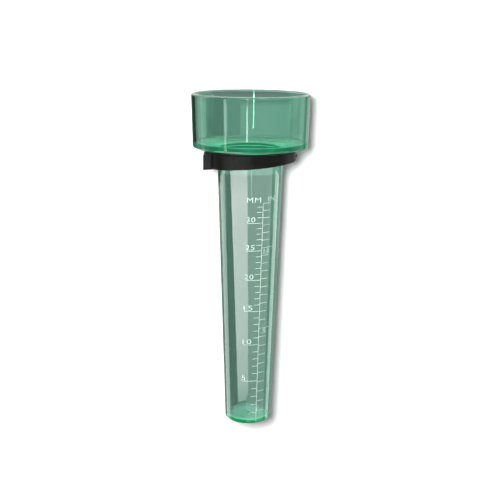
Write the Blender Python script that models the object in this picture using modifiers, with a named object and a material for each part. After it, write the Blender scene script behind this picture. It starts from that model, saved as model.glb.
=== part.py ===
"""Manual rain gauge: a clear one-piece collecting cup and measuring tube, hung in a screw-on ring bracket.

Frame: metres, +Z up along the tube, origin at the centre of the tube's flat base. The bracket's
mounting pad faces -X. The vessel lifts straight up out of the bracket along +Z.
"""
import math

import bmesh
import bpy
from mathutils import Matrix, Vector

# Driving dimensions of the vessel
HEIGHT = 0.2378
RIM_RADIUS = 0.0409
CUP_FOOT_RADIUS = 0.0399
CUP_FOOT_Z = 0.2013
CUP_WALL = 0.0026
RIM_ROUND = 0.0012
CUP_FOOT_ROUND = 0.0009
CUP_CORNER_ROUND = 0.0008
CUP_CORNER_Z = 0.2047
FLOOR_SLOPE = 0.2100
FLOOR_THICKNESS = 0.0024
TUBE_BASE_RADIUS = 0.0167
TUBE_TAPER = 0.0324
TUBE_WALL = 0.0023
TUBE_FLOOR_Z = 0.0022
TUBE_BASE_ROUND = 0.0012
TUBE_FLOOR_ROUND = 0.0006
MOUTH_ROUND = 0.0007
GATE_PIP_RADIUS = 0.0014
GATE_PIP_TOP_RADIUS = 0.0009
GATE_PIP_HEIGHT = 0.0008

# The neck is a short skirt under the cup that stands in the bracket
NECK_RADIUS = 0.0298
NECK_WALL = 0.0020
NECK_BOTTOM_Z = 0.1973
NECK_ROUND = 0.0005

# Driving dimensions of the bracket
GAP = 0.0003
RING_RADIUS = 0.0318
RING_WALL = RING_RADIUS - NECK_RADIUS - GAP
RING_TOP_Z = 0.1992
SKIRT_BOTTOM_Z = 0.1898
SKIRT_SLOPE = 0.080
SHELF_TOP_Z = NECK_BOTTOM_Z - GAP
SHELF_BOTTOM_Z = SHELF_TOP_Z - 0.0020
SHELF_INNER_RADIUS = 0.0246
TOP_EDGE_ROUND = 0.0006
SKIRT_EDGE_ROUND = 0.0009
INNER_EDGE_ROUND = 0.0004
PAD_HALF_WIDTH = 0.0180
PAD_OUTER_X = -0.0319
PAD_THICKNESS = 0.0070
PAD_CORNER = 0.0014
PAD_EDGE_ROUND = 0.0005
PAD_TOP_Z = 0.1976
PAD_BOTTOM_Z = 0.1896
SCREW_HOLE_RADIUS = 0.0019
SCREW_SPACING = 0.0220
SCREW_HOLE_Z = 0.1908
NIB_RADIUS = 0.0014
NIB_STAND = 0.0009
NIB_Z = 0.1952

# Mesh fineness
TURN_STEPS = 64
HOLE_SIDES = 20
NIB_SIDES = 12
SMALL_ROUND = 0.0010
SMALL_ARC_STEPS = 2
ARC_STEPS = 3
PAD_CORNER_STEPS = 4
MERGE = 0.00001
SMOOTH_ANGLE = math.radians(32)


def clear_scene():
    for obj in list(bpy.data.objects):
        bpy.data.objects.remove(obj, do_unlink=True)


def collection(name):
    group = bpy.data.collections.new(name)
    bpy.context.scene.collection.children.link(group)
    return group


def material(name, colour, roughness, metallic=0.0, alpha=1.0):
    finish = bpy.data.materials.new(name)
    finish.use_nodes = True
    shader = finish.node_tree.nodes["Principled BSDF"]
    shader.inputs["Base Color"].default_value = (*colour, 1.0)
    shader.inputs["Roughness"].default_value = roughness
    shader.inputs["Metallic"].default_value = metallic
    shader.inputs["Alpha"].default_value = alpha
    return finish


def fillet(corner, before, after, radius):
    """Points (r, z) that round the corner between the lines to its two neighbours."""
    steps = SMALL_ARC_STEPS if radius < SMALL_ROUND else ARC_STEPS
    corner, before, after = Vector(corner), Vector(before), Vector(after)
    to_before = (before - corner).normalized()
    to_after = (after - corner).normalized()
    half = to_before.angle(to_after) / 2
    centre = corner + (to_before + to_after).normalized() * radius / math.sin(half)
    start = corner + to_before * radius / math.tan(half) - centre
    sweep = start.angle_signed(corner + to_after * radius / math.tan(half) - centre)
    points = []
    for i in range(steps + 1):
        turned = start.copy()
        turned.rotate(Matrix.Rotation(-sweep * i / steps, 2))
        points.append(tuple(centre + turned))
    return points


def rounded_path(stations):
    """Points of a path from (r, z, round) stations; a round of 0 keeps the corner sharp."""
    points = []
    for i, (r, z, radius) in enumerate(stations):
        if radius:
            after = stations[(i + 1) % len(stations)]
            points += fillet((r, z), stations[i - 1][:2], after[:2], radius)
        else:
            points.append((r, z))
    return points


def turned(name, points, group, closed=False):
    """A solid turned about Z from a profile that runs down its outer side; closed joins its ends."""
    mesh = bpy.data.meshes.new(name)
    edges = [(i, i + 1) for i in range(len(points) - 1)]
    if closed:
        edges.append((len(points) - 1, 0))
    mesh.from_pydata([(r, 0.0, z) for r, z in points], edges, [])
    obj = bpy.data.objects.new(name, mesh)
    group.objects.link(obj)
    screw = obj.modifiers.new("turn", "SCREW")
    screw.axis = "Z"
    screw.steps = TURN_STEPS
    screw.render_steps = TURN_STEPS
    screw.use_merge_vertices = True
    screw.merge_threshold = MERGE
    return obj


def tube_radius(z):
    return TUBE_BASE_RADIUS + TUBE_TAPER * z


def floor_z(radius):
    """Height of the cup's coned floor, which drains to the tube's mouth."""
    corner_radius = cup_inner_radius(CUP_CORNER_Z)
    return CUP_CORNER_Z - (corner_radius - radius) * FLOOR_SLOPE


def cup_outer_radius(z):
    share = (z - CUP_FOOT_Z) / (HEIGHT - CUP_FOOT_Z)
    return CUP_FOOT_RADIUS + (RIM_RADIUS - CUP_FOOT_RADIUS) * share


def cup_inner_radius(z):
    return cup_outer_radius(z) - CUP_WALL


def mouth_point():
    """Where the tube's inner wall meets the cup's coned floor."""
    z = CUP_CORNER_Z
    for _ in range(20):
        z = floor_z(tube_radius(z) - TUBE_WALL)
    return tube_radius(z) - TUBE_WALL, z


def vessel_profile():
    """From the middle of the tube's floor, up the inside, over the rim and down the outside."""
    mouth_r, mouth_z = mouth_point()
    skirt_inner = NECK_RADIUS - NECK_WALL
    groove_outer_z = floor_z(skirt_inner) - FLOOR_THICKNESS
    tube_top_z = floor_z(tube_radius(mouth_z)) - FLOOR_THICKNESS
    return rounded_path([
        (0.0, TUBE_FLOOR_Z + GATE_PIP_HEIGHT, 0),
        (GATE_PIP_TOP_RADIUS, TUBE_FLOOR_Z + GATE_PIP_HEIGHT, 0),
        (GATE_PIP_RADIUS, TUBE_FLOOR_Z, 0),
        (tube_radius(TUBE_FLOOR_Z) - TUBE_WALL, TUBE_FLOOR_Z, TUBE_FLOOR_ROUND),
        (mouth_r, mouth_z, MOUTH_ROUND),
        (cup_inner_radius(CUP_CORNER_Z), CUP_CORNER_Z, CUP_CORNER_ROUND),
        (cup_inner_radius(HEIGHT), HEIGHT, RIM_ROUND),
        (cup_outer_radius(HEIGHT), HEIGHT, RIM_ROUND),
        (CUP_FOOT_RADIUS, CUP_FOOT_Z, CUP_FOOT_ROUND),
        (NECK_RADIUS, CUP_FOOT_Z, NECK_ROUND),
        (NECK_RADIUS, NECK_BOTTOM_Z, NECK_ROUND),
        (skirt_inner, NECK_BOTTOM_Z, NECK_ROUND),
        (skirt_inner, groove_outer_z, NECK_ROUND),
        (tube_radius(tube_top_z), tube_top_z, NECK_ROUND),
        (tube_radius(0.0), 0.0, TUBE_BASE_ROUND),
        (0.0, 0.0, 0),
    ])


def make_vessel(group):
    vessel = turned("gauge_vessel", vessel_profile(), group)
    vessel.data.materials.append(material("clear_green_plastic", (0.30, 0.72, 0.52), 0.06, alpha=0.45))
    return vessel


def ring_profile():
    """Skirt and shelf in section, from the bore's top edge over the top and down the outside."""
    bore = RING_RADIUS - RING_WALL
    return rounded_path([
        (bore, RING_TOP_Z, INNER_EDGE_ROUND),
        (RING_RADIUS, RING_TOP_Z, TOP_EDGE_ROUND),
        (RING_RADIUS, SKIRT_BOTTOM_Z, SKIRT_EDGE_ROUND),
        (bore, SKIRT_BOTTOM_Z, INNER_EDGE_ROUND),
        (bore, SHELF_BOTTOM_Z, INNER_EDGE_ROUND),
        (SHELF_INNER_RADIUS, SHELF_BOTTOM_Z, INNER_EDGE_ROUND),
        (SHELF_INNER_RADIUS, SHELF_TOP_Z, INNER_EDGE_ROUND),
        (bore, SHELF_TOP_Z, INNER_EDGE_ROUND),
    ])


def linked(name, shape, group):
    """A new object that holds a finished bmesh."""
    mesh = bpy.data.meshes.new(name)
    shape.to_mesh(mesh)
    shape.free()
    obj = bpy.data.objects.new(name, mesh)
    group.objects.link(obj)
    return obj


def centred_on(low, high):
    low, high = Vector(low), Vector(high)
    return Matrix.Translation((low + high) / 2) @ Matrix.Diagonal((*(high - low), 1.0))


def apply_modifiers(obj):
    """Turns what the modifiers make into the object's own mesh."""
    finished = bpy.data.meshes.new_from_object(obj.evaluated_get(bpy.context.evaluated_depsgraph_get()))
    obj.modifiers.clear()
    obj.data = finished


def slant_skirt(obj):
    """Tips the lower edge of the ring or pad: deep at the pad on -X, shallow on +X."""
    for vertex in obj.data.vertices:
        depth = (SHELF_BOTTOM_Z - vertex.co.z) / (SHELF_BOTTOM_Z - SKIRT_BOTTOM_Z)
        if depth > 0:
            vertex.co.z += SKIRT_SLOPE * vertex.co.x * depth


def boolean(target, tool, operation):
    """Joins or cuts the target with a tool that is kept as a hidden guide."""
    tool.hide_render = True
    tool.display_type = "WIRE"
    step = target.modifiers.new(tool.name, "BOOLEAN")
    step.operation = operation
    step.object = tool
    step.solver = "EXACT"


def make_pad(cutters):
    """The flat screw pad on the ring's -X side, a little deeper than the skirt, its lower corners rounded."""
    low = (PAD_OUTER_X, -PAD_HALF_WIDTH, PAD_BOTTOM_Z)
    high = (PAD_OUTER_X + PAD_THICKNESS, PAD_HALF_WIDTH, PAD_TOP_Z)
    shape = bmesh.new()
    bmesh.ops.create_cube(shape, size=1.0, matrix=centred_on(low, high))
    lower_corners = [
        edge for edge in shape.edges
        if all(v.co.z < low[2] + MERGE for v in edge.verts)
        and abs(edge.verts[0].co.x - edge.verts[1].co.x) > MERGE
    ]
    bmesh.ops.bevel(
        shape, geom=lower_corners, offset=PAD_CORNER, segments=PAD_CORNER_STEPS, profile=0.5, affect="EDGES"
    )
    outline = [
        edge for edge in shape.edges
        if all(v.co.x < low[0] + MERGE for v in edge.verts)
    ]
    bmesh.ops.bevel(shape, geom=outline, offset=PAD_EDGE_ROUND, segments=2, profile=0.5, affect="EDGES")
    pad = linked("pad_block", shape, cutters)
    slant_skirt(pad)
    return pad


def make_screw_hole(side, cutters):
    shape = bmesh.new()
    place = Matrix.Translation((PAD_OUTER_X + PAD_THICKNESS / 2, side * SCREW_SPACING / 2, SCREW_HOLE_Z))
    bmesh.ops.create_cone(
        shape, cap_ends=True, segments=HOLE_SIDES, radius1=SCREW_HOLE_RADIUS, radius2=SCREW_HOLE_RADIUS,
        depth=3 * PAD_THICKNESS, matrix=place @ Matrix.Rotation(math.radians(90), 4, "Y"),
    )
    return linked(f"screw_hole_{'near' if side < 0 else 'far'}", shape, cutters)


def make_nib(cutters):
    """The low moulding nib on the ring's +X side."""
    shape = bmesh.new()
    flatten = Matrix.Diagonal((NIB_STAND / NIB_RADIUS, 1.0, 1.0, 1.0))
    bmesh.ops.create_uvsphere(
        shape, u_segments=NIB_SIDES, v_segments=NIB_SIDES // 2, radius=NIB_RADIUS,
        matrix=Matrix.Translation((RING_RADIUS, 0.0, NIB_Z)) @ flatten,
    )
    return linked("moulding_nib", shape, cutters)


def make_bracket(group, cutters):
    bracket = turned("bracket_ring", ring_profile(), group, closed=True)
    apply_modifiers(bracket)
    slant_skirt(bracket)
    bracket.data.materials.append(material("black_plastic", (0.012, 0.012, 0.012), 0.38))
    inside_wall = RING_RADIUS - RING_WALL / 2
    inside_shelf = (SHELF_TOP_Z + SHELF_BOTTOM_Z) / 2
    above = 2 * RING_TOP_Z
    neck_room = turned(
        "neck_room",
        [(0.0, above), (inside_wall, above), (inside_wall, inside_shelf), (0.0, inside_shelf)],
        cutters,
    )
    pad = make_pad(cutters)
    boolean(pad, neck_room, "DIFFERENCE")
    boolean(bracket, pad, "UNION")
    boolean(bracket, make_nib(cutters), "UNION")
    for side in (-1, 1):
        boolean(bracket, make_screw_hole(side, cutters), "DIFFERENCE")
    return bracket


def finish(piece):
    """Makes the piece plain mesh, shaded smooth with its real edges kept sharp."""
    apply_modifiers(piece)
    piece.data.name = piece.name
    piece.data.shade_smooth()
    piece.data.set_sharp_from_angle(angle=SMOOTH_ANGLE)


def main():
    clear_scene()
    gauge = collection("manual_rain_gauge")
    cutters = collection("cutters")
    lift_out = bpy.data.objects.new("lift_out", None)
    gauge.objects.link(lift_out)
    vessel = make_vessel(gauge)
    vessel.parent = lift_out
    bracket = make_bracket(gauge, cutters)
    for piece in (vessel, bracket):
        finish(piece)


main()
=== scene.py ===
"""Looks of a manual rain gauge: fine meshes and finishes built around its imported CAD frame."""
import logging
import math
from dataclasses import dataclass, field
from enum import Enum
from typing import Iterable, Sequence

import bmesh
import bpy
from mathutils import Matrix, Vector


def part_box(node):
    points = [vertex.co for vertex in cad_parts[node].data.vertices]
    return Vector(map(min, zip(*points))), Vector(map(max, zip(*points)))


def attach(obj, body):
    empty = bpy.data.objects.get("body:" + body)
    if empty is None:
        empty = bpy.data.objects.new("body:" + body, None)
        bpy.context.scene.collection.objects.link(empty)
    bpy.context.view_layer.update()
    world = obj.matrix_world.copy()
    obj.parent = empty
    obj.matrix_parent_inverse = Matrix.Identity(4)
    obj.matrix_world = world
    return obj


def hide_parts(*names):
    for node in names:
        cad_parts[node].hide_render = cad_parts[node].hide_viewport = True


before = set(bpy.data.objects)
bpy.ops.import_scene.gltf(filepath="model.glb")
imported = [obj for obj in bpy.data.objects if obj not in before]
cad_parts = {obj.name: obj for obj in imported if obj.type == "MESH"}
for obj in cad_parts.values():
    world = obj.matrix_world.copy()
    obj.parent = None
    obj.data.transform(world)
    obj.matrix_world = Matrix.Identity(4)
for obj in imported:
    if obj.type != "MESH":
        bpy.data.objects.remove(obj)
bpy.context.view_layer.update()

log = logging.getLogger("rain_gauge")
MM = 0.001
MERGE = 1e-6
PROUD = 0.3  # how far the middle of the ink film stands out of the plastic, in films


class Body(Enum):
    """The CAD bodies that pieces ride on."""

    BRACKET = "bracket"
    VESSEL = "vessel"


class Side(Enum):
    """Which way marks run from the scale's upright line."""

    LEFT = -1.0
    RIGHT = 1.0


class View(Enum):
    """How the plastic shows a card."""

    THROUGH = "seen through the plastic, close behind"
    MIRRORED = "mirrored in the plastic's surface"
    BOTH = "mirrored by the near and by the far wall"


# ---------------------------------------------------------------- finishes


class Nodes:
    """Adds nodes to a tree, so that a finish or a rule reads like a formula."""

    def __init__(self, tree: bpy.types.NodeTree) -> None:
        """Keeps the tree.

        Args:
            tree: the node tree that the nodes are added to.
        """
        self.tree = tree

    def add(self, kind: str, **settings: object) -> bpy.types.Node:
        """Adds one node.

        Args:
            kind: the node's type, such as ShaderNodeMath.
            settings: properties to set on it.

        Returns:
            The new node.
        """
        node = self.tree.nodes.new(kind)
        for name, value in settings.items():
            setattr(node, name, value)
        return node

    def feed(self, socket: bpy.types.NodeSocket, value: object) -> None:
        """Links a socket to another one, or gives it a plain value.

        Args:
            socket: the input to fill.
            value: an output socket, or a value for the input's default.
        """
        if isinstance(value, bpy.types.NodeSocket):
            self.tree.links.new(value, socket)
        else:
            socket.default_value = value

    def maths(self, operation: str, *values: object) -> bpy.types.NodeSocket:
        """A Math node.

        Args:
            operation: the Math node's operation.
            values: sockets or numbers for its inputs.

        Returns:
            The node's result.
        """
        node = self.add("ShaderNodeMath", operation=operation)
        for socket, value in zip(node.inputs, values):
            self.feed(socket, value)
        return node.outputs[0]

    def noise(
        self, where: object, scale: float, detail: float, roughness: float = 0.5,
    ) -> bpy.types.NodeSocket:
        """A 3D noise's factor.

        Args:
            where: the coordinates it reads.
            scale: features per metre.
            detail: octaves.
            roughness: how much the fine octaves weigh.

        Returns:
            The factor socket.
        """
        node = self.add("ShaderNodeTexNoise")
        self.feed(node.inputs["Vector"], where)
        self.feed(node.inputs["Scale"], scale)
        self.feed(node.inputs["Detail"], detail)
        self.feed(node.inputs["Roughness"], roughness)
        return node.outputs["Fac"]

    def remap(
        self, value: object, low: float, high: float, to_low: float, to_high: float,
    ) -> bpy.types.NodeSocket:
        """A clamped Map Range.

        Args:
            value: the socket to read.
            low: the input that gives to_low.
            high: the input that gives to_high.
            to_low: the result at and below low.
            to_high: the result at and above high.

        Returns:
            The result socket.
        """
        node = self.add("ShaderNodeMapRange")
        for socket, item in zip(node.inputs, (value, low, high, to_low, to_high)):
            self.feed(socket, item)
        return node.outputs["Result"]

    def ramp(self, value: object, stops: Sequence[tuple[float, float]]) -> bpy.types.NodeSocket:
        """A grey level that follows a value through named stops.

        Args:
            value: the socket to read.
            stops: value and level pairs, by rising value.

        Returns:
            The level socket.
        """
        first, last = stops[0][0], stops[-1][0]
        node = self.add("ShaderNodeValToRGB")
        points = node.color_ramp.elements
        while len(points) < len(stops):
            points.new(1.0)
        for point, (at, level) in zip(points, stops):
            point.position = (at - first) / (last - first)
            point.color = (level, level, level, 1.0)
        self.feed(node.inputs["Fac"], self.remap(value, first, last, 0.0, 1.0))
        return node.outputs["Color"]

    def blend(self, share: object, first: object, second: object) -> bpy.types.NodeSocket:
        """A colour mix.

        Args:
            share: how much of the second colour shows.
            first: the colour at share 0.
            second: the colour at share 1.

        Returns:
            The mixed colour's socket.
        """
        node = self.add("ShaderNodeMix", data_type="RGBA")
        self.feed(node.inputs["Factor"], share)
        self.feed(node.inputs["A"], first)
        self.feed(node.inputs["B"], second)
        return node.outputs["Result"]

    def bump(self, height: object, strength: float, distance: float) -> bpy.types.NodeSocket:
        """A Bump node.

        Args:
            height: the height socket.
            strength: how strongly it shows.
            distance: the height's range in metres.

        Returns:
            The new normal's socket.
        """
        node = self.add("ShaderNodeBump")
        self.feed(node.inputs["Height"], height)
        self.feed(node.inputs["Strength"], strength)
        self.feed(node.inputs["Distance"], distance)
        return node.outputs["Normal"]


def rgb(colour: Sequence[float]) -> tuple[float, ...]:
    """A colour with full alpha."""
    return (*colour, 1.0)


def new_material(name: str) -> tuple[bpy.types.Material, Nodes, bpy.types.Node, bpy.types.Node]:
    """A material with only a Principled shader in it.

    Args:
        name: the material's name.

    Returns:
        The material, its node helper, its shader and its output node.
    """
    material = bpy.data.materials.new(name)
    material.use_nodes = True
    tree = material.node_tree
    return material, Nodes(tree), tree.nodes["Principled BSDF"], tree.nodes["Material Output"]


@dataclass(frozen=True)
class ClearGreenPlastic:
    """Polished clear moulding plastic whose green tint deepens with the light's path through it, with a
    painted green glow at its thick edges.
    """

    refraction: float = 1.58
    roughness: float = 0.012
    worn_roughness: float = 0.09
    tint: tuple[float, float, float] = (0.167, 0.767, 0.567)
    density: float = 300.0
    # painted glow: the colour, strength and patchiness of an emission at the thick edges, and the bands
    # where it shows
    edge_glow: tuple[float, float, float] = (0.0, 0.62, 0.28)
    glow_strength: float = 0.27
    glow_patch_scale: float = 160.0
    base_edge: float = 4.2 * MM
    base_fade: float = 0.8 * MM
    base_radius: float = 16.2 * MM
    cup_edge: float = 203.6 * MM
    cup_fade: float = 1.6 * MM
    cup_edge_rise: float = 0.09
    cup_radius: float = 38.8 * MM
    wall_fade: float = 0.6 * MM
    rim_edge: float = 237.0 * MM
    rim_share: float = 0.45
    flow_scale: float = 55.0
    flow_strength: float = 0.10
    flow_depth: float = 0.12 * MM
    scratch_scale: float = 420.0

    def make(self) -> bpy.types.Material:
        """Builds the material.

        Returns:
            The finished material.
        """
        material, nodes, shader, output = new_material("clear_green_plastic")
        shader.inputs["Base Color"].default_value = rgb((1.0, 1.0, 1.0))
        shader.inputs["Transmission Weight"].default_value = 1.0
        shader.inputs["IOR"].default_value = self.refraction
        where = nodes.add("ShaderNodeTexCoord").outputs["Object"]
        flow = nodes.noise(where, self.flow_scale, 1.0)
        nodes.feed(shader.inputs["Normal"], nodes.bump(flow, self.flow_strength, self.flow_depth))
        hairs = nodes.noise(where, self.scratch_scale, 3.0, 0.7)
        nodes.feed(shader.inputs["Roughness"], nodes.remap(
            hairs, 0.62, 0.80, self.roughness, self.worn_roughness))
        # painted glow: green emission at the base, cup foot and rim stands in for light gathered in the
        # plastic
        shader.inputs["Emission Color"].default_value = rgb(self.edge_glow)
        nodes.feed(shader.inputs["Emission Strength"], self.gathered(nodes, where))
        tint = nodes.add("ShaderNodeVolumeAbsorption")
        tint.inputs["Color"].default_value = rgb(self.tint)
        tint.inputs["Density"].default_value = self.density
        nodes.feed(output.inputs["Volume"], tint.outputs["Volume"])
        return material

    def gathered(self, nodes: Nodes, where: bpy.types.NodeSocket) -> bpy.types.NodeSocket:
        """Painted glow: emission at the moulding's thick edges (base, cup foot and rim) that stands in for
        light gathered in the plastic; no lamp makes it.

        Args:
            nodes: the material's tree.
            where: the object coordinates.

        Returns:
            The glow's strength socket.
        """
        split = nodes.add("ShaderNodeSeparateXYZ")
        nodes.feed(split.inputs[0], where)
        x, y, z = split.outputs
        squares = nodes.maths("ADD", nodes.maths("MULTIPLY", x, x), nodes.maths("MULTIPLY", y, y))
        radius = nodes.maths("SQRT", squares)
        tipped = nodes.maths("MULTIPLY_ADD", y, self.cup_edge_rise, z)
        base = nodes.maths(
            "MULTIPLY", nodes.remap(radius, self.base_radius - self.wall_fade, self.base_radius, 0.0, 1.0),
            nodes.remap(z, self.base_edge, self.base_edge + self.base_fade, 1.0, 0.0))
        cup = nodes.maths(
            "MULTIPLY", nodes.remap(radius, self.cup_radius - self.wall_fade, self.cup_radius, 0.0, 1.0),
            nodes.remap(tipped, self.cup_edge, self.cup_edge + self.cup_fade, 1.0, 0.0))
        rim = nodes.remap(
            z, self.rim_edge - self.wall_fade, self.rim_edge + 0.4 * MM, 0.0, self.rim_share)
        # painted glow mask: the base band, the cup foot band (tipped higher at the back) and the rim
        edges = nodes.maths("MAXIMUM", nodes.maths("MAXIMUM", base, cup), rim)
        outward = nodes.maths("SUBTRACT", 1.0, nodes.add("ShaderNodeNewGeometry").outputs["Backfacing"])
        uneven = nodes.remap(nodes.noise(where, self.glow_patch_scale, 2.0), 0.3, 0.7, 0.75, 1.1)
        strength = nodes.maths("MULTIPLY", outward, self.glow_strength)
        return nodes.maths("MULTIPLY", nodes.maths("MULTIPLY", edges, uneven), strength)


@dataclass(frozen=True)
class SatinBlackPlastic:
    """Black moulded plastic with a fine spark grain and faint handling marks."""

    colour: tuple[float, float, float] = (0.0016, 0.0018, 0.0014)
    worn_colour: tuple[float, float, float] = (0.0052, 0.0054, 0.0049)
    specular: float = 0.13
    roughness: tuple[float, float] = (0.27, 0.37)
    grain_scale: float = 2600.0
    grain_strength: float = 0.25
    grain_depth: float = 0.03 * MM
    wear_scale: float = 160.0
    wear_share: float = 0.8

    def make(self) -> bpy.types.Material:
        """Builds the material.

        Returns:
            The finished material.
        """
        material, nodes, shader, _ = new_material("satin_black_plastic")
        where = nodes.add("ShaderNodeTexCoord").outputs["Object"]
        shader.inputs["Specular IOR Level"].default_value = self.specular
        grain = nodes.noise(where, self.grain_scale, 2.0)
        wear = nodes.noise(where, self.wear_scale, 4.0, 0.6)
        nodes.feed(shader.inputs["Base Color"], nodes.blend(
            nodes.remap(wear, 0.45, 0.8, 0.0, self.wear_share), rgb(self.colour), rgb(self.worn_colour)))
        nodes.feed(shader.inputs["Roughness"], nodes.remap(wear, 0.3, 0.7, *self.roughness))
        nodes.feed(shader.inputs["Normal"], nodes.bump(grain, self.grain_strength, self.grain_depth))
        return material


@dataclass(frozen=True)
class ScaleInk:
    """Pale printing ink, a little uneven where the pad pressed lightly."""

    colour: tuple[float, float, float] = (0.39, 0.51, 0.45)
    thin_colour: tuple[float, float, float] = (0.30, 0.41, 0.355)
    patch_scale: float = 900.0
    roughness: float = 0.5

    def make(self) -> bpy.types.Material:
        """Builds the material.

        Returns:
            The finished material.
        """
        material, nodes, shader, _ = new_material("scale_ink")
        where = nodes.add("ShaderNodeTexCoord").outputs["Object"]
        patches = nodes.noise(where, self.patch_scale, 3.0, 0.6)
        nodes.feed(shader.inputs["Base Color"], nodes.blend(
            nodes.remap(patches, 0.45, 0.70, 0.0, 1.0), rgb(self.colour), rgb(self.thin_colour)))
        shader.inputs["Roughness"].default_value = self.roughness
        return material


@dataclass(frozen=True)
class Glow:
    """Light of its own that changes with height, for cards seen through the plastic or mirrored in it."""

    name: str
    levels: tuple[tuple[float, float], ...]

    def make(self) -> bpy.types.Material:
        """Builds the material.

        Returns:
            The finished material.
        """
        material = bpy.data.materials.new(self.name)
        material.use_nodes = True
        tree = material.node_tree
        nodes = Nodes(tree)
        tree.nodes.remove(tree.nodes["Principled BSDF"])
        place = nodes.add("ShaderNodeSeparateXYZ")
        nodes.feed(place.inputs[0], nodes.add("ShaderNodeTexCoord").outputs["Object"])
        light = nodes.add("ShaderNodeEmission")
        nodes.feed(light.inputs["Strength"], nodes.ramp(place.outputs["Z"], self.levels))
        nodes.feed(tree.nodes["Material Output"].inputs["Surface"], light.outputs["Emission"])
        return material


@dataclass(frozen=True)
class StudioPaper:
    """Plain white paper whose back doesn't show, so the object can be seen from behind it."""

    brightness: float = 0.9

    def make(self) -> bpy.types.Material:
        """Builds the material.

        Returns:
            The finished material.
        """
        material = bpy.data.materials.new("studio_paper")
        material.use_nodes = True
        tree = material.node_tree
        nodes = Nodes(tree)
        tree.nodes.remove(tree.nodes["Principled BSDF"])
        paper = nodes.add("ShaderNodeBsdfDiffuse")
        paper.inputs["Color"].default_value = rgb((self.brightness,) * 3)
        clear = nodes.add("ShaderNodeBsdfTransparent")
        mix = nodes.add("ShaderNodeMixShader")
        nodes.feed(mix.inputs[0], nodes.add("ShaderNodeNewGeometry").outputs["Backfacing"])
        nodes.feed(mix.inputs[1], paper.outputs["BSDF"])
        nodes.feed(mix.inputs[2], clear.outputs["BSDF"])
        nodes.feed(tree.nodes["Material Output"].inputs["Surface"], mix.outputs["Shader"])
        return material


# ---------------------------------------------------------------- shapes


@dataclass(frozen=True)
class Corner:
    """One corner of a turned profile: its radius from the axis, its height and how much it is rounded."""

    r: float
    z: float
    round: float = 0.0

    @property
    def point(self) -> Vector:
        """The corner as a 2D point."""
        return Vector((self.r, self.z))


@dataclass(frozen=True)
class TurnedProfile:
    """A section turned about Z, given by its corners down the outer side."""

    corners: tuple[Corner, ...]
    closed: bool = False
    arc_steps: int = 8
    hold: float = 0.35 * MM

    def arc(self, i: int) -> list[Vector]:
        """The points that round one corner.

        Args:
            i: the corner's place in the profile.

        Returns:
            The arc's points in order, or the bare corner where it isn't rounded.
        """
        corner = self.corners[i]
        if not corner.round:
            return [corner.point]
        before = (self.corners[i - 1].point - corner.point).normalized()
        after = (self.corners[(i + 1) % len(self.corners)].point - corner.point).normalized()
        half = before.angle(after) / 2
        centre = corner.point + (before + after).normalized() * corner.round / math.sin(half)
        start = corner.point + before * corner.round / math.tan(half) - centre
        sweep = start.angle_signed(corner.point + after * corner.round / math.tan(half) - centre)
        points = []
        for step in range(self.arc_steps + 1):
            spoke = start.copy()
            spoke.rotate(Matrix.Rotation(-sweep * step / self.arc_steps, 2))
            points.append(centre + spoke)
        return points

    def points(self) -> list[Vector]:
        """All points, with one close to each end of a long straight so that its shading stays flat.

        Returns:
            The profile's points in order.
        """
        arcs = [self.arc(i) for i in range(len(self.corners))]
        found: list[Vector] = []
        for i, arc in enumerate(arcs):
            found += arc
            if i + 1 == len(arcs) and not self.closed:
                break
            start, end = arc[-1], arcs[(i + 1) % len(arcs)][0]
            run = end - start
            if run.length > 4 * self.hold:
                found += [start + run.normalized() * self.hold, end - run.normalized() * self.hold]
        return found

    def turn(self, name: str, steps: int) -> bpy.types.Object:
        """Turns the profile about Z.

        Args:
            name: the new object's name.
            steps: how many steps make the full turn.

        Returns:
            An object that holds the turned mesh, smooth and welded.
        """
        points = self.points()
        edges = [(i, i + 1) for i in range(len(points) - 1)]
        if self.closed:
            edges.append((len(points) - 1, 0))
        mesh = bpy.data.meshes.new(name)
        mesh.from_pydata([(p.x, 0.0, p.y) for p in points], edges, [])
        obj = linked(name, mesh)
        screw = obj.modifiers.new("turn", "SCREW")
        screw.steps = screw.render_steps = steps
        screw.use_merge_vertices = True
        screw.merge_threshold = MERGE
        bake_modifiers(obj)
        obj.data.shade_smooth()
        return obj


def linked(name: str, mesh: bpy.types.Mesh) -> bpy.types.Object:
    """Puts a mesh in the scene.

    Args:
        name: the object's name.
        mesh: its mesh.

    Returns:
        The new object, at the origin.
    """
    obj = bpy.data.objects.new(name, mesh)
    bpy.context.scene.collection.objects.link(obj)
    return obj


def from_bmesh(name: str, shape: bmesh.types.BMesh) -> bpy.types.Object:
    """Makes an object of a finished bmesh, and frees it.

    Args:
        name: the object's name.
        shape: the finished shape.

    Returns:
        The new object.
    """
    mesh = bpy.data.meshes.new(name)
    shape.to_mesh(mesh)
    shape.free()
    return linked(name, mesh)


def bake_modifiers(obj: bpy.types.Object) -> None:
    """Turns what an object's modifiers make into its own plain mesh.

    Args:
        obj: the object to bake.
    """
    bpy.context.view_layer.update()
    baked = bpy.data.meshes.new_from_object(obj.evaluated_get(bpy.context.evaluated_depsgraph_get()))
    obj.modifiers.clear()
    obj.data = baked
    baked.name = obj.name


def remove(*objects: bpy.types.Object) -> None:
    """Deletes helper objects.

    Args:
        objects: the objects to delete.
    """
    for obj in objects:
        bpy.data.objects.remove(obj, do_unlink=True)


def join(name: str, parts: Sequence[bpy.types.Object]) -> bpy.types.Object:
    """Joins several meshes into one object.

    Args:
        name: the joined object's name.
        parts: the objects to join, which are deleted.

    Returns:
        The joined object.
    """
    shape = bmesh.new()
    for part in parts:
        shape.from_mesh(part.data)
    remove(*parts)
    return from_bmesh(name, shape)


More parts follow.
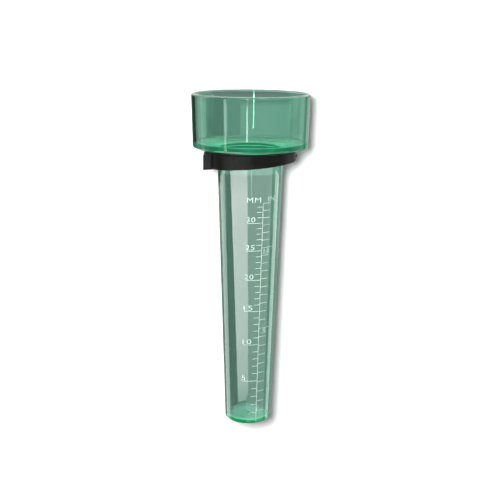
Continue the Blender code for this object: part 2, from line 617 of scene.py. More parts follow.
def cut(target: bpy.types.Object, tool: bpy.types.Object, operation: str) -> None:
    """Applies a Boolean to a mesh, and deletes the tool.

    Args:
        target: the mesh that is changed.
        tool: the closed mesh that cuts or joins.
        operation: UNION or DIFFERENCE.
    """
    step = target.modifiers.new("cut", "BOOLEAN")
    step.operation = operation
    step.solver = "EXACT"
    step.object = tool
    bake_modifiers(target)
    remove(tool)


def paint(obj: bpy.types.Object, material: bpy.types.Material) -> None:
    """Gives an object one material."""
    obj.data.materials.clear()
    obj.data.materials.append(material)


# ---------------------------------------------------------------- the vessel


@dataclass
class Vessel:
    """The clear moulding: a collecting cup, a short neck and a tapered measuring tube in one piece."""

    node: str = "gauge_vessel"
    cup_foot_radius: float = 39.9 * MM
    cup_foot_z: float = 201.3 * MM
    cup_wall: float = 2.6 * MM
    rim_round: float = 1.2 * MM
    cup_foot_round: float = 0.9 * MM
    cup_corner_z: float = 204.7 * MM
    cup_corner_round: float = 0.8 * MM
    floor_slope: float = 0.21
    floor_thickness: float = 2.4 * MM
    tube_base_radius: float = 16.7 * MM
    taper: float = 0.0324
    tube_wall: float = 2.3 * MM
    tube_floor_z: float = 2.2 * MM
    tube_base_round: float = 1.2 * MM
    tube_floor_round: float = 0.6 * MM
    mouth_round: float = 0.7 * MM
    pip_radius: float = 1.4 * MM
    pip_height: float = 0.8 * MM
    pip_round: float = 0.2 * MM
    neck_radius: float = 29.8 * MM
    neck_wall: float = 2.0 * MM
    neck_bottom_z: float = 197.3 * MM
    neck_round: float = 0.5 * MM
    steps: int = 224
    finish: ClearGreenPlastic = field(default_factory=ClearGreenPlastic)

    def __post_init__(self) -> None:
        """Takes the overall height and the rim's radius from the CAD piece."""
        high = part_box(self.node)[1]
        self.height = high.z
        self.rim_radius = high.x

    def tube_radius(self, z: float) -> float:
        """The tube's outer radius at a height."""
        return self.tube_base_radius + self.taper * z

    def cup_outer(self, z: float) -> float:
        """The cup's outer radius at a height."""
        share = (z - self.cup_foot_z) / (self.height - self.cup_foot_z)
        return self.cup_foot_radius + (self.rim_radius - self.cup_foot_radius) * share

    def floor_z(self, r: float) -> float:
        """The height of the cup's coned floor at a radius."""
        corner_radius = self.cup_outer(self.cup_corner_z) - self.cup_wall
        return self.cup_corner_z - (corner_radius - r) * self.floor_slope

    def mouth(self) -> Corner:
        """Where the tube's inner wall meets the cup's floor.

        Returns:
            The rounded corner at the mouth.
        """
        z = self.cup_corner_z
        for _ in range(20):
            z = self.floor_z(self.tube_radius(z) - self.tube_wall)
        return Corner(self.tube_radius(z) - self.tube_wall, z, self.mouth_round)

    def profile(self) -> TurnedProfile:
        """The section from the tube's floor, up the inside, over the rim and down the outside.

        Returns:
            The profile to turn.
        """
        mouth = self.mouth()
        skirt_inner = self.neck_radius - self.neck_wall
        groove_z = self.floor_z(skirt_inner) - self.floor_thickness
        tube_top_z = self.floor_z(self.tube_radius(mouth.z)) - self.floor_thickness
        pip_top = self.tube_floor_z + self.pip_height
        tube_inner = self.tube_radius(self.tube_floor_z) - self.tube_wall
        cup_inner = self.cup_outer(self.cup_corner_z) - self.cup_wall
        return TurnedProfile((
            Corner(0.0, pip_top),
            Corner(self.pip_radius * 0.7, pip_top, self.pip_round),
            Corner(self.pip_radius, self.tube_floor_z, self.pip_round),
            Corner(tube_inner, self.tube_floor_z, self.tube_floor_round),
            mouth,
            Corner(cup_inner, self.cup_corner_z, self.cup_corner_round),
            Corner(self.rim_radius - self.cup_wall, self.height, self.rim_round),
            Corner(self.rim_radius, self.height, self.rim_round),
            Corner(self.cup_foot_radius, self.cup_foot_z, self.cup_foot_round),
            Corner(self.neck_radius, self.cup_foot_z, self.neck_round),
            Corner(self.neck_radius, self.neck_bottom_z, self.neck_round),
            Corner(skirt_inner, self.neck_bottom_z, self.neck_round),
            Corner(skirt_inner, groove_z, self.neck_round),
            Corner(self.tube_radius(tube_top_z), tube_top_z, self.neck_round),
            Corner(self.tube_base_radius, 0.0, self.tube_base_round),
            Corner(0.0, 0.0),
        ))

    def build(self) -> bpy.types.Object:
        """Makes the moulding.

        Returns:
            The finished piece, riding on the vessel.
        """
        piece = self.profile().turn("clear_vessel", self.steps)
        paint(piece, self.finish.make())
        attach(piece, Body.VESSEL.value)
        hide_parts(self.node)
        return piece


# ---------------------------------------------------------------- the bracket


@dataclass
class Bracket:
    """The black ring that the vessel hangs in, with a slanting skirt and a flat pad for two screws."""

    node: str = "bracket_ring"
    bore: float = 30.1 * MM
    top_round: float = 0.6 * MM
    skirt_round: float = 0.9 * MM
    inner_round: float = 0.4 * MM
    skirt_z: float = 189.8 * MM
    slope: float = 0.080
    shelf_top_z: float = 197.0 * MM
    shelf_bottom_z: float = 195.0 * MM
    shelf_radius: float = 24.6 * MM
    ring_radius: float = 31.8 * MM
    pad_half_width: float = 18.0 * MM
    pad_thickness: float = 7.0 * MM
    pad_corner: float = 1.4 * MM
    pad_edge: float = 0.5 * MM
    pad_bottom_z: float = 189.6 * MM
    pad_top_z: float = 197.6 * MM
    hole_radius: float = 1.9 * MM
    hole_spacing: float = 22.0 * MM
    hole_z: float = 190.8 * MM
    nib_radius: float = 1.4 * MM
    nib_stand: float = 0.9 * MM
    nib_z: float = 195.2 * MM
    crease: float = 38.0
    steps: int = 192
    finish: SatinBlackPlastic = field(default_factory=SatinBlackPlastic)

    def __post_init__(self) -> None:
        """Takes the ring's top and the pad's face from the CAD piece."""
        low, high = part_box(self.node)
        self.top_z = high.z
        self.pad_x = low.x

    def slant(self, obj: bpy.types.Object) -> None:
        """Tips the lower edge: deep at the pad, shallow opposite it.

        Args:
            obj: the mesh whose part below the shelf is tipped.
        """
        for vertex in obj.data.vertices:
            depth = (self.shelf_bottom_z - vertex.co.z) / (self.shelf_bottom_z - self.skirt_z)
            if depth > 0:
                vertex.co.z += self.slope * vertex.co.x * depth

    def ring(self) -> bpy.types.Object:
        """The turned skirt and shelf.

        Returns:
            The ring's mesh object.
        """
        ring = TurnedProfile((
            Corner(self.bore, self.top_z, self.inner_round),
            Corner(self.ring_radius, self.top_z, self.top_round),
            Corner(self.ring_radius, self.skirt_z, self.skirt_round),
            Corner(self.bore, self.skirt_z, self.inner_round),
            Corner(self.bore, self.shelf_bottom_z, self.inner_round),
            Corner(self.shelf_radius, self.shelf_bottom_z, self.inner_round),
            Corner(self.shelf_radius, self.shelf_top_z, self.inner_round),
            Corner(self.bore, self.shelf_top_z, self.inner_round),
        ), closed=True, arc_steps=4).turn("holder_ring", self.steps)
        self.slant(ring)
        return ring

    def pad(self) -> bpy.types.Object:
        """The flat screw pad, a little deeper than the skirt, its lower corners rounded.

        Returns:
            The pad's mesh object.
        """
        low = Vector((self.pad_x, -self.pad_half_width, self.pad_bottom_z))
        high = Vector((self.pad_x + self.pad_thickness, self.pad_half_width, self.pad_top_z))
        shape = bmesh.new()
        place = Matrix.Translation((low + high) / 2) @ Matrix.Diagonal((*(high - low), 1.0))
        bmesh.ops.create_cube(shape, size=1.0, matrix=place)
        corners = [
            edge for edge in shape.edges
            if all(v.co.z < low.z + MERGE for v in edge.verts)
            and abs(edge.verts[0].co.x - edge.verts[1].co.x) > MERGE
        ]
        bmesh.ops.bevel(
            shape, geom=corners, offset=self.pad_corner, segments=8, profile=0.5, affect="EDGES")
        outline = [edge for edge in shape.edges if all(v.co.x < low.x + MERGE for v in edge.verts)]
        bmesh.ops.bevel(
            shape, geom=outline, offset=self.pad_edge, segments=4, profile=0.5, affect="EDGES")
        pad = from_bmesh("pad", shape)
        self.slant(pad)
        inside_wall = (self.bore + self.ring_radius) / 2
        inside_shelf = (self.shelf_top_z + self.shelf_bottom_z) / 2
        above = 2 * self.top_z
        room = TurnedProfile((
            Corner(0.0, above), Corner(inside_wall, above),
            Corner(inside_wall, inside_shelf), Corner(0.0, inside_shelf),
        )).turn("neck_room", self.steps)
        cut(pad, room, "DIFFERENCE")
        return pad

    def nib(self) -> bpy.types.Object:
        """The low moulding nib on the side away from the pad.

        Returns:
            The nib's mesh object.
        """
        shape = bmesh.new()
        flatten = Matrix.Diagonal((self.nib_stand / self.nib_radius, 1.0, 1.0, 1.0))
        place = Matrix.Translation((self.ring_radius, 0.0, self.nib_z)) @ flatten
        bmesh.ops.create_uvsphere(
            shape, u_segments=24, v_segments=12, radius=self.nib_radius, matrix=place)
        return from_bmesh("nib", shape)

    def screw_hole(self, side: int) -> bpy.types.Object:
        """The cutter for one screw hole.

        Args:
            side: -1 or 1 along Y.

        Returns:
            The cutter's mesh object.
        """
        shape = bmesh.new()
        centre = (self.pad_x + self.pad_thickness / 2, side * self.hole_spacing / 2, self.hole_z)
        bmesh.ops.create_cone(
            shape, cap_ends=True, segments=48, radius1=self.hole_radius, radius2=self.hole_radius,
            depth=3 * self.pad_thickness,
            matrix=Matrix.Translation(centre) @ Matrix.Rotation(math.radians(90), 4, "Y"),
        )
        return from_bmesh("hole", shape)

    def build(self) -> bpy.types.Object:
        """Makes the bracket.

        Returns:
            The finished piece, riding on the bracket.
        """
        piece = self.ring()
        cut(piece, self.pad(), "UNION")
        cut(piece, self.nib(), "UNION")
        for side in (-1, 1):
            cut(piece, self.screw_hole(side), "DIFFERENCE")
        piece.data.shade_smooth()
        piece.data.set_sharp_from_angle(angle=math.radians(self.crease))
        paint(piece, self.finish.make())
        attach(piece, Body.BRACKET.value)
        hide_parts(self.node)
        return piece


# ---------------------------------------------------------------- the printed scale


class GraduationTree:
    """A Geometry Nodes tree that prints a row of marks up the tube, spaced by how the water rises."""

    INPUTS = (
        ("Count", "NodeSocketInt"), ("First Rain", "NodeSocketFloat"), ("Rain Step", "NodeSocketFloat"),
        ("Long Every", "NodeSocketInt"), ("Long Offset", "NodeSocketInt"),
        ("Short Length", "NodeSocketFloat"), ("Long Length", "NodeSocketFloat"),
        ("Side", "NodeSocketFloat"), ("Line Width", "NodeSocketFloat"), ("Film", "NodeSocketFloat"),
        ("Azimuth", "NodeSocketFloat"), ("Lean", "NodeSocketFloat"),
        ("Base Radius", "NodeSocketFloat"), ("Taper", "NodeSocketFloat"),
        ("Bore At Floor", "NodeSocketFloat"), ("Floor Height", "NodeSocketFloat"),
        ("Catch Radius", "NodeSocketFloat"), ("Ink", "NodeSocketMaterial"),
    )

    def __init__(self) -> None:
        """Builds the tree once, for every row of marks."""
        self.tree = bpy.data.node_groups.new("rain_marks", "GeometryNodeTree")
        self.keys: dict[str, str] = {}
        for name, kind in self.INPUTS:
            socket = self.tree.interface.new_socket(name, in_out="INPUT", socket_type=kind)
            self.keys[name] = socket.identifier
        self.tree.interface.new_socket("Marks", in_out="OUTPUT", socket_type="NodeSocketGeometry")
        self.nodes = Nodes(self.tree)
        self.given = self.nodes.add("NodeGroupInput").outputs
        self.wire()

    def rise(self, index: bpy.types.NodeSocket) -> bpy.types.NodeSocket:
        """The height of one mark, where the tapered bore holds the rain that the cup has caught.

        Args:
            index: the mark's number.

        Returns:
            The height socket, in metres above the base.
        """
        sums, given = self.nodes.maths, self.given
        rain = sums("MULTIPLY_ADD", index, given["Rain Step"], given["First Rain"])
        area = sums("MULTIPLY", given["Catch Radius"], given["Catch Radius"])
        caught = sums("MULTIPLY", sums("MULTIPLY", area, rain), sums("MULTIPLY", given["Taper"], 3.0))
        bore = given["Bore At Floor"]
        # cubes of millimetres keep their digits where cubes of metres would not
        caught_mm = sums("MULTIPLY", caught, 1e9)
        bore_cubed = sums("POWER", sums("MULTIPLY", bore, 1000.0), 3.0)
        top = sums("MULTIPLY", sums("POWER", sums("ADD", bore_cubed, caught_mm), 1.0 / 3.0), MM)
        climb = sums("DIVIDE", sums("SUBTRACT", top, bore), given["Taper"])
        return sums("ADD", climb, given["Floor Height"])

    def wire(self) -> None:
        """Lays out the tree."""
        nodes, given = self.nodes, self.given
        points = nodes.add("GeometryNodeMeshLine", mode="OFFSET")
        nodes.feed(points.inputs["Count"], given["Count"])
        nodes.feed(points.inputs["Offset"], (0.0, 0.0, 0.0))
        index = nodes.add("GeometryNodeInputIndex").outputs["Index"]
        turn = nodes.maths("MODULO", nodes.maths("ADD", index, given["Long Offset"]), given["Long Every"])
        longer = nodes.maths("LESS_THAN", turn, 0.5)
        spare = nodes.maths("SUBTRACT", given["Long Length"], given["Short Length"])
        length = nodes.maths("MULTIPLY_ADD", longer, spare, given["Short Length"])
        kept = self.store(points.outputs["Mesh"], "mark_z", self.rise(index))
        kept = self.store(kept, "mark_length", length)

        box = nodes.add("GeometryNodeMeshCube")
        nodes.feed(box.inputs["Size"], (1.0, 1.0, 1.0))
        nodes.feed(box.inputs["Vertices X"], 9)
        copies = nodes.add("GeometryNodeInstanceOnPoints")
        nodes.feed(copies.inputs["Points"], kept)
        nodes.feed(copies.inputs["Instance"], box.outputs["Mesh"])
        real = nodes.add("GeometryNodeRealizeInstances")
        nodes.feed(real.inputs["Geometry"], copies.outputs["Instances"])
        wrapped = nodes.add("GeometryNodeSetPosition")
        nodes.feed(wrapped.inputs["Geometry"], real.outputs["Geometry"])
        nodes.feed(wrapped.inputs["Position"], self.on_tube())
        inked = nodes.add("GeometryNodeSetMaterial")
        nodes.feed(inked.inputs["Geometry"], wrapped.outputs["Geometry"])
        nodes.feed(inked.inputs["Material"], given["Ink"])
        nodes.feed(nodes.add("NodeGroupOutput").inputs["Marks"], inked.outputs["Geometry"])

    def store(
        self, geometry: bpy.types.NodeSocket, name: str, value: bpy.types.NodeSocket,
    ) -> bpy.types.NodeSocket:
        """Keeps a number on each point.

        Args:
            geometry: the points.
            name: the attribute's name.
            value: the number.

        Returns:
            The geometry that holds it.
        """
        node = self.nodes.add("GeometryNodeStoreNamedAttribute", data_type="FLOAT", domain="POINT")
        self.nodes.feed(node.inputs["Geometry"], geometry)
        self.nodes.feed(node.inputs["Name"], name)
        self.nodes.feed(node.inputs["Value"], value)
        return node.outputs["Geometry"]

    def stored(self, name: str) -> bpy.types.NodeSocket:
        """Reads a number kept on each point."""
        node = self.nodes.add("GeometryNodeInputNamedAttribute", data_type="FLOAT")
        self.nodes.feed(node.inputs["Name"], name)
        return node.outputs["Attribute"]

    def on_tube(self) -> bpy.types.NodeSocket:
        """Wraps a unit box's points round the cone: X along the mark, Y out of it and Z across it.

        Returns:
            The new position's socket.
        """
        nodes, sums, given = self.nodes, self.nodes.maths, self.given
        place = nodes.add("ShaderNodeSeparateXYZ")
        nodes.feed(place.inputs[0], nodes.add("GeometryNodeInputPosition").outputs["Position"])
        z = sums("MULTIPLY_ADD", place.outputs["Z"], given["Line Width"], self.stored("mark_z"))
        radius = sums("MULTIPLY_ADD", z, given["Taper"], given["Base Radius"])
        share = sums("SUBTRACT", sums("MULTIPLY", given["Side"], 0.5), place.outputs["X"])
        along = sums("MULTIPLY", share, self.stored("mark_length"))
        upright = sums("MULTIPLY_ADD", z, given["Lean"], given["Azimuth"])
        angle = sums("ADD", upright, sums("DIVIDE", along, radius))
        out = sums("MULTIPLY_ADD", sums("ADD", place.outputs["Y"], PROUD), given["Film"], radius)
        joined = nodes.add("ShaderNodeCombineXYZ")
        nodes.feed(joined.inputs["X"], sums("MULTIPLY", out, sums("SINE", angle)))
        back = sums("MULTIPLY", sums("COSINE", angle), -1.0)
        nodes.feed(joined.inputs["Y"], sums("MULTIPLY", out, back))
        nodes.feed(joined.inputs["Z"], z)
        return joined.outputs["Vector"]

    def print_row(self, name: str, values: dict[str, object]) -> bpy.types.Object:
        """Prints one row of marks as a plain mesh.

        Args:
            name: the object's name.
            values: the tree's inputs by name.

        Returns:
            The row's mesh object.
        """
        row = linked(name, bpy.data.meshes.new(name))
        step = row.modifiers.new("marks", "NODES")
        step.node_group = self.tree
        for key, value in values.items():
            step[self.keys[key]] = value
        bake_modifiers(row)
        return row


@dataclass(frozen=True)
class Ruling:
    """One row of marks: the bore and catch it was drawn for, its step and its marks' lengths."""

    name: str
    side: Side
    bore_at_floor: float
    catch_radius: float
    step: float
    count: int
    long_every: int
    short: float
    long: float

    def height_of(self, rain: float, taper: float, floor_z: float) -> float:
        """How high a depth of rain is marked.

        Args:
            rain: the depth of rain in metres.
            taper: how fast the tube's radius grows with height.
            floor_z: the height of the tube's floor.

        Returns:
            The mark's height above the base in metres.
        """
        top = (self.bore_at_floor ** 3 + 3 * taper * self.catch_radius ** 2 * rain) ** (1 / 3)
        return (top - self.bore_at_floor) / taper + floor_z


@dataclass
class RainScale:
    """The scale printed up the tube: millimetres to the left of an upright line, inches to its right."""

    vessel: Vessel
    azimuth: float = 0.3595
    lean: float = 0.45
    catch_radius: float = 37.8 * MM
    inch: float = 25.4 * MM
    inch_bore: float = 19.7 * MM
    inch_catch_radius: float = 49.75 * MM
    line_width: float = 0.42 * MM
    mark_width: float = 0.38 * MM
    film: float = 0.10 * MM
    numeral: tuple[float, float] = (6.2 * MM, 3.7 * MM)
    single_numeral_width: float = 2.9 * MM
    half_inch_numeral: tuple[float, float] = (3.9 * MM, 3.3 * MM)
    inch_numeral: tuple[float, float] = (4.3 * MM, 3.6 * MM)
    heading: tuple[float, float] = (9.7 * MM, 3.6 * MM)
    inch_heading: tuple[float, float] = (5.6 * MM, 3.0 * MM)
    gap: float = 0.7 * MM
    letter_spacing: float = 1.08
    line_cuts: int = 40
    finish: ScaleInk = field(default_factory=ScaleInk)

    def __post_init__(self) -> None:
        """Rules the millimetres for the tube's own bore, and the inches for a nominal larger pair."""
        vessel = self.vessel
        bore = vessel.tube_radius(vessel.tube_floor_z) - vessel.tube_wall
        self.millimetres = Ruling(
            "millimetre_marks", Side.LEFT, bore, self.catch_radius,
            step=MM, count=33, long_every=5, short=4.1 * MM, long=10.8 * MM)
        self.inches = Ruling(
            "inch_marks", Side.RIGHT, self.inch_bore, self.inch_catch_radius,
            step=self.inch / 20, count=26, long_every=10, short=5.6 * MM, long=8.9 * MM)

    def height_of(self, ruling: Ruling, steps: float) -> float:
        """The height of a ruling's mark.

        Args:
            ruling: the row of marks.
            steps: the mark's number, from 0 at the tube's floor.

        Returns:
            The height above the base in metres.
        """
        return ruling.height_of(steps * ruling.step, self.vessel.taper, self.vessel.tube_floor_z)

    def wrap(self, obj: bpy.types.Object) -> None:
        """Wraps a flat mesh on the tube: X runs round it from the upright line, Y up it, Z out of it.

        Args:
            obj: the flat mesh object.
        """
        for vertex in obj.data.vertices:
            along, z, out = vertex.co
            radius = self.vessel.tube_radius(z)
            angle = self.azimuth + self.lean * z + along / radius
            radius += out
            vertex.co = (radius * math.sin(angle), -radius * math.cos(angle), z)

    def upright(self, low: float, high: float) -> bpy.types.Object:
        """The upright line between the two rows, cut fine so that it follows the tube.

        Args:
            low: its lower end.
            high: its upper end.

        Returns:
            The line's mesh object.
        """
        shape = bmesh.new()
        centre = (0.0, (low + high) / 2, PROUD * self.film)
        size = (self.line_width, high - low, self.film)
        bmesh.ops.create_cube(
            shape, size=1.0, matrix=Matrix.Translation(centre) @ Matrix.Diagonal((*size, 1.0)))
        along = [edge for edge in shape.edges if abs(edge.verts[0].co.y - edge.verts[1].co.y) > MM]
        bmesh.ops.subdivide_edges(shape, edges=along, cuts=self.line_cuts, use_grid_fill=True)
        line = from_bmesh("upright", shape)
        self.wrap(line)
        return line

    def lettering(
        self, text: str, left: float, base: float, size: tuple[float, float],
    ) -> bpy.types.Object:
        """A word or number of ink, wrapped on the tube.

        Args:
            text: the word or number.
            left: where it starts round the tube.
            base: the height of its foot line.
            size: its width and height.

        Returns:
            The lettering's mesh object.
        """
        curve = bpy.data.curves.new("lettering", "FONT")
        curve.body = text
        curve.resolution_u = 4
        curve.extrude = 0.5
        curve.space_character = self.letter_spacing
        writing = bpy.data.objects.new("lettering", curve)
        bpy.context.scene.collection.objects.link(writing)
        bpy.context.view_layer.update()
        evaluated = writing.evaluated_get(bpy.context.evaluated_depsgraph_get())
        mesh = bpy.data.meshes.new_from_object(evaluated)
        remove(writing)
        low = Vector(map(min, *(v.co for v in mesh.vertices)))
        high = Vector(map(max, *(v.co for v in mesh.vertices)))
        wide, tall = size[0] / (high.x - low.x), size[1] / (high.y - low.y)
        for vertex in mesh.vertices:
            x, y, z = vertex.co
            vertex.co = (
                left + (x - low.x) * wide, base + (y - low.y) * tall, (z + PROUD) * self.film)
        letters = linked("letters", mesh)
        self.wrap(letters)
        return letters

    def rows(self, ink: bpy.types.Material) -> Iterable[bpy.types.Object]:
        """The two rows of marks.

        Args:
            ink: the material they are printed in.

        Yields:
            Each row's mesh object.
        """
        tree = GraduationTree()
        for ruling in (self.millimetres, self.inches):
            yield tree.print_row(ruling.name, {
                "Count": ruling.count, "First Rain": ruling.step, "Rain Step": ruling.step,
                "Long Every": ruling.long_every, "Long Offset": 1,
                "Short Length": ruling.short, "Long Length": ruling.long, "Side": ruling.side.value,
                "Line Width": self.mark_width, "Film": self.film,
                "Azimuth": self.azimuth, "Lean": self.lean,
                "Base Radius": self.vessel.tube_base_radius, "Taper": self.vessel.taper,
                "Bore At Floor": ruling.bore_at_floor, "Floor Height": self.vessel.tube_floor_z,
                "Catch Radius": ruling.catch_radius, "Ink": ink,
            })

    def words(self) -> Iterable[bpy.types.Object]:
        """The numbers beside the long marks, and the two headings.

        Yields:
            Each word's mesh object.
        """
        left = -self.millimetres.long - self.gap
        width, height = self.numeral
        for rain in range(5, 35, 5):
            number = (self.single_numeral_width if rain < 10 else width, height)
            yield self.lettering(str(rain), left, self.height_of(self.millimetres, rain) + self.gap, number)
        for steps, text, size in ((10, ".5", self.half_inch_numeral), (20, "1.0", self.inch_numeral)):
            base = self.height_of(self.inches, steps) - self.gap - size[1]
            yield self.lettering(text, self.inches.short * 0.3, base, size)
        top = self.height_of(self.inches, self.inches.count)
        yield self.lettering("MM", left, top + self.gap, self.heading)
        yield self.lettering("IN", self.inches.short * 0.68, top + 2 * self.gap, self.inch_heading)

    def build(self) -> bpy.types.Object:
        """Prints the whole scale.

        Returns:
            The finished piece, riding on the vessel.
        """
        ink = self.finish.make()
        top = self.height_of(self.inches, self.inches.count) + self.mark_width / 2
        parts = [*self.rows(ink), self.upright(self.vessel.tube_floor_z, top), *self.words()]
        piece = join("printed_scale", parts)
        paint(piece, ink)
        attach(piece, Body.VESSEL.value)
        return piece


# ---------------------------------------------------------------- the studio


@dataclass(frozen=True)
class Card:
    """A sheet of light or dark that only the plastic sees, in its mirror or through it."""

    name: str
    azimuths: tuple[float, float]
    levels: tuple[tuple[float, float], ...]
    view: View
    lean: tuple[float, float] = (0.0, 0.0)
    near: float = 0.5
    far: float = 1.0
    steps: int = 24

    def build(self) -> bpy.types.Object:
        """Makes the card as an upright strip bent round the gauge's axis.

        Returns:
            The card's object.
        """
        shape = bmesh.new()
        reach = self.far if self.view is View.MIRRORED else self.near
        foot, head = self.levels[0][0], self.levels[-1][0]
        columns = []
        for i in range(self.steps + 1):
            share = i / self.steps
            angle = self.azimuths[0] + (self.azimuths[1] - self.azimuths[0]) * share
            lean = self.lean[0] + (self.lean[1] - self.lean[0]) * share
            column = []
            for z, turned in ((foot, angle + lean), (head, angle)):
                spoke = math.radians(turned)
                place = (reach * math.sin(spoke), -reach * math.cos(spoke), z)
                column.append(shape.verts.new(place))
            columns.append(column)
        for left, right in zip(columns, columns[1:]):
            shape.faces.new((left[0], right[0], right[1], left[1]))
        card = from_bmesh(self.name, shape)
        paint(card, Glow(self.name, self.levels).make())
        card.visible_camera = card.visible_diffuse = card.visible_shadow = False
        card.visible_glossy = self.view is not View.THROUGH
        card.visible_transmission = self.view is not View.MIRRORED
        return card


@dataclass(frozen=True)
class Surroundings:
    """What the plastic shows of the room: a grey level for each elevation, behind it and in front of it."""

    behind: tuple[tuple[float, float], ...] = (
        (-90.0, 0.45), (-27.0, 0.45), (-25.5, 0.36), (-16.0, 0.36), (-15.0, 0.58), (-4.6, 0.58),
        (-4.4, 0.15), (-4.04, 0.15), (-3.96, 0.95), (8.0, 0.95), (18.0, 2.0), (38.0, 2.2),
        (46.0, 3.4), (90.0, 3.4),
    )
    in_front: tuple[tuple[float, float], ...] = (
        (-90.0, 1.1), (-52.0, 1.1), (-48.0, 0.03), (-29.0, 0.03), (-27.0, 0.5), (-12.0, 0.5),
        (-10.0, 0.25), (0.0, 0.2), (30.0, 0.2), (60.0, 0.8), (75.0, 2.0), (90.0, 2.0),
    )
    seen_directly: float = 1.2
    ambient: float = 0.30

    def level(
        self, nodes: Nodes, rise: bpy.types.NodeSocket, stops: Sequence[tuple[float, float]],
    ) -> bpy.types.NodeSocket:
        """The grey level for a direction.

        Args:
            nodes: the world's tree.
            rise: the direction's Z.
            stops: elevation in degrees and level pairs.

        Returns:
            The level's socket.
        """
        return nodes.ramp(rise, [(math.sin(math.radians(angle)), level) for angle, level in stops])

    def build(self) -> None:
        """Makes the scene's world."""
        world = bpy.data.worlds.new("studio")
        world.use_nodes = True
        bpy.context.scene.world = world
        tree = world.node_tree
        nodes = Nodes(tree)
        tree.nodes.clear()
        split = nodes.add("ShaderNodeSeparateXYZ")
        nodes.feed(split.inputs[0], nodes.add("ShaderNodeTexCoord").outputs["Generated"])
        rise = split.outputs["Z"]
        shown = nodes.blend(
            nodes.maths("GREATER_THAN", split.outputs["Y"], 0.0),
            self.level(nodes, rise, self.in_front), self.level(nodes, rise, self.behind))
        path = nodes.add("ShaderNodeLightPath").outputs
        lit = nodes.blend(path["Is Diffuse Ray"], shown, rgb((self.ambient,) * 3))
        seen = nodes.blend(path["Is Camera Ray"], lit, rgb((self.seen_directly,) * 3))
        room = nodes.add("ShaderNodeBackground")
        nodes.feed(room.inputs["Color"], seen)
        nodes.feed(nodes.add("ShaderNodeOutputWorld").inputs["Surface"], room.outputs["Background"])


def even(low: float, high: float, level: float) -> tuple[tuple[float, float], ...]:
    """One level from a low height to a high one."""
    return ((low, level), (high, level))


TUBE_TILT = (-1.3, -1.3)  # degrees that the cards behind the tube lean, as its wall does


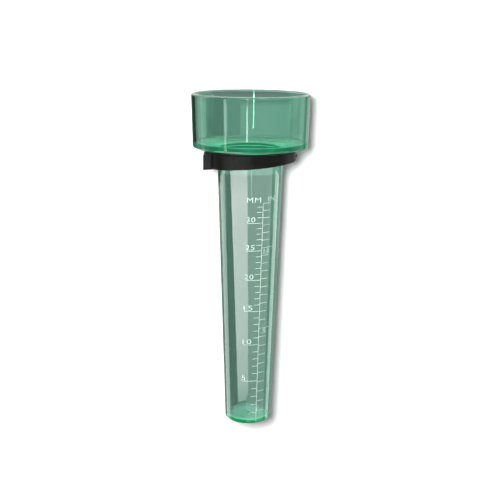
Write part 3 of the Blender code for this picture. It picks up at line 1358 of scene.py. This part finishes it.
@dataclass
class Studio:
    """A white wall close behind the gauge, one soft lamp, the cards and the camera."""

    wall_distance: float = 45.0 * MM
    wall_reach: float = 1.5
    lamp_power: float = 29.0
    lamp_place: tuple[float, float, float] = (-0.065, -0.60, 0.314)
    lamp_radius: float = 0.058
    camera_distance: float = 0.601
    camera_height: float = 0.281
    camera_side: float = 0.50 * MM
    camera_pitch: float = 14.36
    camera_roll: float = 0.57
    lens: float = 62.5
    light_bounces: int = 24
    mirror_bounces: int = 16
    surroundings: Surroundings = field(default_factory=Surroundings)
    cards: tuple[Card, ...] = (
        Card("cup_dark_panel", (185.6, 191.8), even(0.08, 0.196, 0.31), View.THROUGH),
        Card("cup_shade", (182.0, 184.7), even(0.08, 0.196, 0.43), View.THROUGH),
        Card("cup_edge_dark", (201.5, 229.0), even(0.08, 0.21, 0.06), View.BOTH),
        Card("cup_right_dark_line", (128.0, 136.0), even(0.08, 0.21, 0.08), View.BOTH),
        Card("cup_right_shade", (165.0, 170.5), even(0.08, 0.196, 0.50), View.THROUGH),
        Card("cup_right_strip", (157.0, 164.5), even(0.08, 0.196, 0.69), View.THROUGH),
        Card("tube_dark_band", (187.3, 197.2), even(-0.25, 0.098, 0.16), View.THROUGH, TUBE_TILT),
        Card("tube_under_box", (180.7, 187.3), ((-0.25, 0.34), (0.098, 0.28)), View.THROUGH, TUBE_TILT),
        Card("tube_left_strip", (197.2, 221.0), even(-0.25, 0.098, 0.33), View.THROUGH, TUBE_TILT),
        Card("tube_right", (164.5, 180.7), even(-0.25, 0.098, 0.34), View.THROUGH, TUBE_TILT),
        Card("tube_right_strip", (132.0, 164.5), even(-0.25, 0.098, 0.48), View.THROUGH, TUBE_TILT),
        Card("soft_box", (-74.0, -9.5), (
            (-0.50, 3.0), (-0.46, 4.8), (-0.42, 5.0), (-0.35, 6.3),
            (-0.17, 7.5), (-0.08, 8.5), (-0.01, 6.3),
        ), View.MIRRORED, (26.0, 11.0)),
        Card("strip_light", (-7.6, -5.2), (
            (0.034, 7.0), (0.088, 7.0), (0.10, 1.0), (0.12, 1.0), (0.13, 20.0), (0.26, 28.0),
        ), View.BOTH, near=1.0),
        Card("right_fill", (-10.0, 85.0), (
            (-0.56, 1.0), (-0.42, 1.4), (-0.30, 1.9), (-0.01, 2.4),
        ), View.MIRRORED),
        Card("right_edge_strip", (100.0, 125.0), ((-0.56, 2.5), (-0.01, 3.6)), View.MIRRORED),
        Card("left_edge_strip", (228.0, 261.0), ((-0.56, 2.7), (-0.01, 2.5)), View.MIRRORED),
        Card("cup_left_strip", (308.6, 314.0), even(0.0, 0.13, 3.1), View.MIRRORED),
        Card("cup_left_edge", (249.0, 260.0), even(0.0, 0.16, 1.2), View.MIRRORED),
        Card("cup_right_edge", (112.0, 120.0), even(0.0, 0.16, 0.7), View.MIRRORED),
    )

    def build_wall(self) -> None:
        """Stands the wall close behind the gauge, unseen by rays that pass through or mirror off it."""
        reach, back = self.wall_reach, self.wall_distance
        shape = bmesh.new()
        corners = ((-reach, -reach), (reach, -reach), (reach, reach), (-reach, reach))
        shape.faces.new([shape.verts.new((x, back, z)) for x, z in corners])
        wall = from_bmesh("wall", shape)
        paint(wall, StudioPaper().make())
        wall.visible_transmission = wall.visible_glossy = wall.visible_diffuse = False

    def build_lamp(self) -> None:
        """The soft lamp beside the camera that throws the shadow to the right and down."""
        bulb = bpy.data.lights.new("lamp", "POINT")
        bulb.energy = self.lamp_power
        bulb.shadow_soft_size = self.lamp_radius
        lamp = bpy.data.objects.new("lamp", bulb)
        bpy.context.scene.collection.objects.link(lamp)
        lamp.location = self.lamp_place
        lamp.visible_glossy = lamp.visible_transmission = False

    def build_camera(self) -> None:
        """The camera, a little above the rim and looking down along the tube."""
        data = bpy.data.cameras.new("camera")
        data.lens = self.lens
        data.sensor_width = 36.0
        camera = bpy.data.objects.new("camera", data)
        bpy.context.scene.collection.objects.link(camera)
        camera.matrix_world = (
            Matrix.Translation((self.camera_side, -self.camera_distance, self.camera_height))
            @ Matrix.Rotation(math.radians(90.0 - self.camera_pitch), 4, "X")
            @ Matrix.Rotation(math.radians(self.camera_roll), 4, "Z")
        )
        bpy.context.scene.camera = camera

    def build(self) -> None:
        """Sets up the whole studio."""
        scene = bpy.context.scene
        scene.view_settings.view_transform = "Standard"
        scene.cycles.max_bounces = self.light_bounces
        scene.cycles.transmission_bounces = self.light_bounces
        scene.cycles.glossy_bounces = self.mirror_bounces
        self.build_wall()
        self.surroundings.build()
        self.build_lamp()
        for card in self.cards:
            card.build()
        self.build_camera()


def main() -> None:
    """Builds every piece and the studio, and logs each piece's face count."""
    logging.basicConfig(level=logging.INFO, format="%(name)s: %(message)s")
    vessel = Vessel()
    for maker in (vessel, Bracket(), RainScale(vessel)):
        piece = maker.build()
        log.info("%s: %d faces", piece.name, len(piece.data.polygons))
    Studio().build()


if __name__ == "__main__":
    main()
